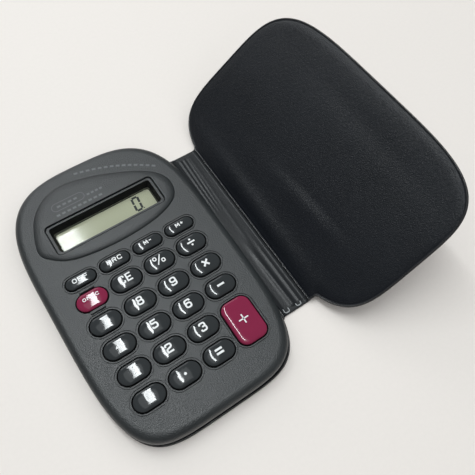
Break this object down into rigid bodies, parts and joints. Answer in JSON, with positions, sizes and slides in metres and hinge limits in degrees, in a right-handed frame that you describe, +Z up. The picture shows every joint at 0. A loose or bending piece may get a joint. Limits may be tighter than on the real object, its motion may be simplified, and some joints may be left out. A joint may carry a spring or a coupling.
{
  "type": "folding pocket calculator",
  "caption": "Slim battery calculator: rounded case with domed display pod and press keys, held in a two-leaf vinyl cover that folds shut over the keys.",
  "frame": {"origin": "on the surface the back cover rests on, under the middle of the key field", "axes": "+Z up out of the key face, +Y towards the display, +X towards the cover flap, rest pose lying on its back with the cover open"},
  "size_m": [0.1416, 0.1172, 0.0433],
  "materials": {
    "adhesive_pad": "double-sided tape",
    "back_shell": "matt",
    "battery": "plated can",
    "capacitor": "ceramic",
    "circuit_board": "green solder mask",
    "contact_steel": "plated strip",
    "controller_chip": "epoxy blob",
    "display_window": "clear acrylic",
    "front_shell": "fine matt texture",
    "grey_key": "satin",
    "key_mat": "silicone",
    "lcd_glass": "liquid crystal cell",
    "lcd_reflector": "foil",
    "maroon_key": "satin",
    "steel": "plated",
    "stiffener": "grey card",
    "vinyl_lining": "fine grained soft vinyl",
    "vinyl_skin": "grained soft vinyl",
    "zebra_connector": "layered strip"
  },
  "bodies": {
    "case": {"adhesive_pad": "adhesive_pad", "back_shell": "back_shell", "battery": "battery", "battery_contact_negative": "contact_steel", "battery_contact_positive": "contact_steel", "capacitor": "capacitor", "case_screw_1": "steel", "case_screw_2": "steel", "case_screw_3": "steel", "case_screw_4": "steel", "circuit_board": "circuit_board", "controller_chip": "controller_chip", "cover_back_board": "stiffener", "cover_back_lining": "vinyl_lining", "cover_back_skin": "vinyl_skin", "display_window": "display_window", "front_shell": "front_shell", "key_mat": "key_mat", "lcd_glass": "lcd_glass", "lcd_reflector": "lcd_reflector", "zebra_connector": "zebra_connector"},
    "key_0": {"key_0": "grey_key"},
    "key_1": {"key_1": "grey_key"},
    "key_2": {"key_2": "grey_key"},
    "key_3": {"key_3": "grey_key"},
    "key_4": {"key_4": "grey_key"},
    "key_5": {"key_5": "grey_key"},
    "key_6": {"key_6": "grey_key"},
    "key_7": {"key_7": "grey_key"},
    "key_8": {"key_8": "grey_key"},
    "key_9": {"key_9": "grey_key"},
    "key_ce": {"key_ce": "grey_key"},
    "key_divide": {"key_divide": "grey_key"},
    "key_equals": {"key_equals": "grey_key"},
    "key_m_minus": {"key_m_minus": "grey_key"},
    "key_m_plus": {"key_m_plus": "grey_key"},
    "key_minus": {"key_minus": "grey_key"},
    "key_mrc": {"key_mrc": "grey_key"},
    "key_multiply": {"key_multiply": "grey_key"},
    "key_off": {"key_off": "grey_key"},
    "key_on_c": {"key_on_c": "maroon_key"},
    "key_percent": {"key_percent": "grey_key"},
    "key_plus": {"key_plus": "maroon_key"},
    "key_point": {"key_point": "grey_key"},
    "cover_spine": {"cover_spine_skin": "vinyl_skin", "cover_spine_lining": "vinyl_lining"},
    "cover_flap": {"cover_flap_skin": "vinyl_skin", "cover_flap_board": "stiffener", "cover_flap_lining": "vinyl_lining"}
  },
  "joints": [
    {"name": "key_0_press", "type": "slide", "parent": "case", "child": "key_0", "axis": [0, 0, -1], "range_m": [0, 0.0008], "stiffness_N_per_m": 500},
    {"name": "key_1_press", "type": "slide", "parent": "case", "child": "key_1", "axis": [0, 0, -1], "range_m": [0, 0.0008], "stiffness_N_per_m": 500},
    {"name": "key_2_press", "type": "slide", "parent": "case", "child": "key_2", "axis": [0, 0, -1], "range_m": [0, 0.0008], "stiffness_N_per_m": 500},
    {"name": "key_3_press", "type": "slide", "parent": "case", "child": "key_3", "axis": [0, 0, -1], "range_m": [0, 0.0008], "stiffness_N_per_m": 500},
    {"name": "key_4_press", "type": "slide", "parent": "case", "child": "key_4", "axis": [0, 0, -1], "range_m": [0, 0.0008], "stiffness_N_per_m": 500},
    {"name": "key_5_press", "type": "slide", "parent": "case", "child": "key_5", "axis": [0, 0, -1], "range_m": [0, 0.0008], "stiffness_N_per_m": 500},
    {"name": "key_6_press", "type": "slide", "parent": "case", "child": "key_6", "axis": [0, 0, -1], "range_m": [0, 0.0008], "stiffness_N_per_m": 500},
    {"name": "key_7_press", "type": "slide", "parent": "case", "child": "key_7", "axis": [0, 0, -1], "range_m": [0, 0.0008], "stiffness_N_per_m": 500},
    {"name": "key_8_press", "type": "slide", "parent": "case", "child": "key_8", "axis": [0, 0, -1], "range_m": [0, 0.0008], "stiffness_N_per_m": 500},
    {"name": "key_9_press", "type": "slide", "parent": "case", "child": "key_9", "axis": [0, 0, -1], "range_m": [0, 0.0008], "stiffness_N_per_m": 500},
    {"name": "key_ce_press", "type": "slide", "parent": "case", "child": "key_ce", "axis": [0, 0, -1], "range_m": [0, 0.0008], "stiffness_N_per_m": 500},
    {"name": "key_divide_press", "type": "slide", "parent": "case", "child": "key_divide", "axis": [0, 0, -1], "range_m": [0, 0.0008], "stiffness_N_per_m": 500},
    {"name": "key_equals_press", "type": "slide", "parent": "case", "child": "key_equals", "axis": [0, 0, -1], "range_m": [0, 0.0008], "stiffness_N_per_m": 500},
    {"name": "key_m_minus_press", "type": "slide", "parent": "case", "child": "key_m_minus", "axis": [0, 0, -1], "range_m": [0, 0.0008], "stiffness_N_per_m": 500},
    {"name": "key_m_plus_press", "type": "slide", "parent": "case", "child": "key_m_plus", "axis": [0, 0, -1], "range_m": [0, 0.0008], "stiffness_N_per_m": 500},
    {"name": "key_minus_press", "type": "slide", "parent": "case", "child": "key_minus", "axis": [0, 0, -1], "range_m": [0, 0.0008], "stiffness_N_per_m": 500},
    {"name": "key_mrc_press", "type": "slide", "parent": "case", "child": "key_mrc", "axis": [0, 0, -1], "range_m": [0, 0.0008], "stiffness_N_per_m": 500},
    {"name": "key_multiply_press", "type": "slide", "parent": "case", "child": "key_multiply", "axis": [0, 0, -1], "range_m": [0, 0.0008], "stiffness_N_per_m": 500},
    {"name": "key_off_press", "type": "slide", "parent": "case", "child": "key_off", "axis": [0, 0, -1], "range_m": [0, 0.0008], "stiffness_N_per_m": 500},
    {"name": "key_on_c_press", "type": "slide", "parent": "case", "child": "key_on_c", "axis": [0, 0, -1], "range_m": [0, 0.0008], "stiffness_N_per_m": 500},
    {"name": "key_percent_press", "type": "slide", "parent": "case", "child": "key_percent", "axis": [0, 0, -1], "range_m": [0, 0.0008], "stiffness_N_per_m": 500},
    {"name": "key_plus_press", "type": "slide", "parent": "case", "child": "key_plus", "axis": [0, 0, -1], "range_m": [0, 0.0008], "stiffness_N_per_m": 800},
    {"name": "key_point_press", "type": "slide", "parent": "case", "child": "key_point", "axis": [0, 0, -1], "range_m": [0, 0.0008], "stiffness_N_per_m": 500},
    {"name": "spine_fold", "type": "hinge", "parent": "case", "child": "cover_spine", "pos_m": [0.03625, 0, 0.00045], "axis": [0, -1, 0], "range_deg": [0, 90]},
    {"name": "flap_fold", "type": "hinge", "parent": "cover_spine", "child": "cover_flap", "pos_m": [0.04645, 0, 0.00075], "axis": [0, -1, 0], "range_deg": [-35.3, 54.7]}
  ]
}
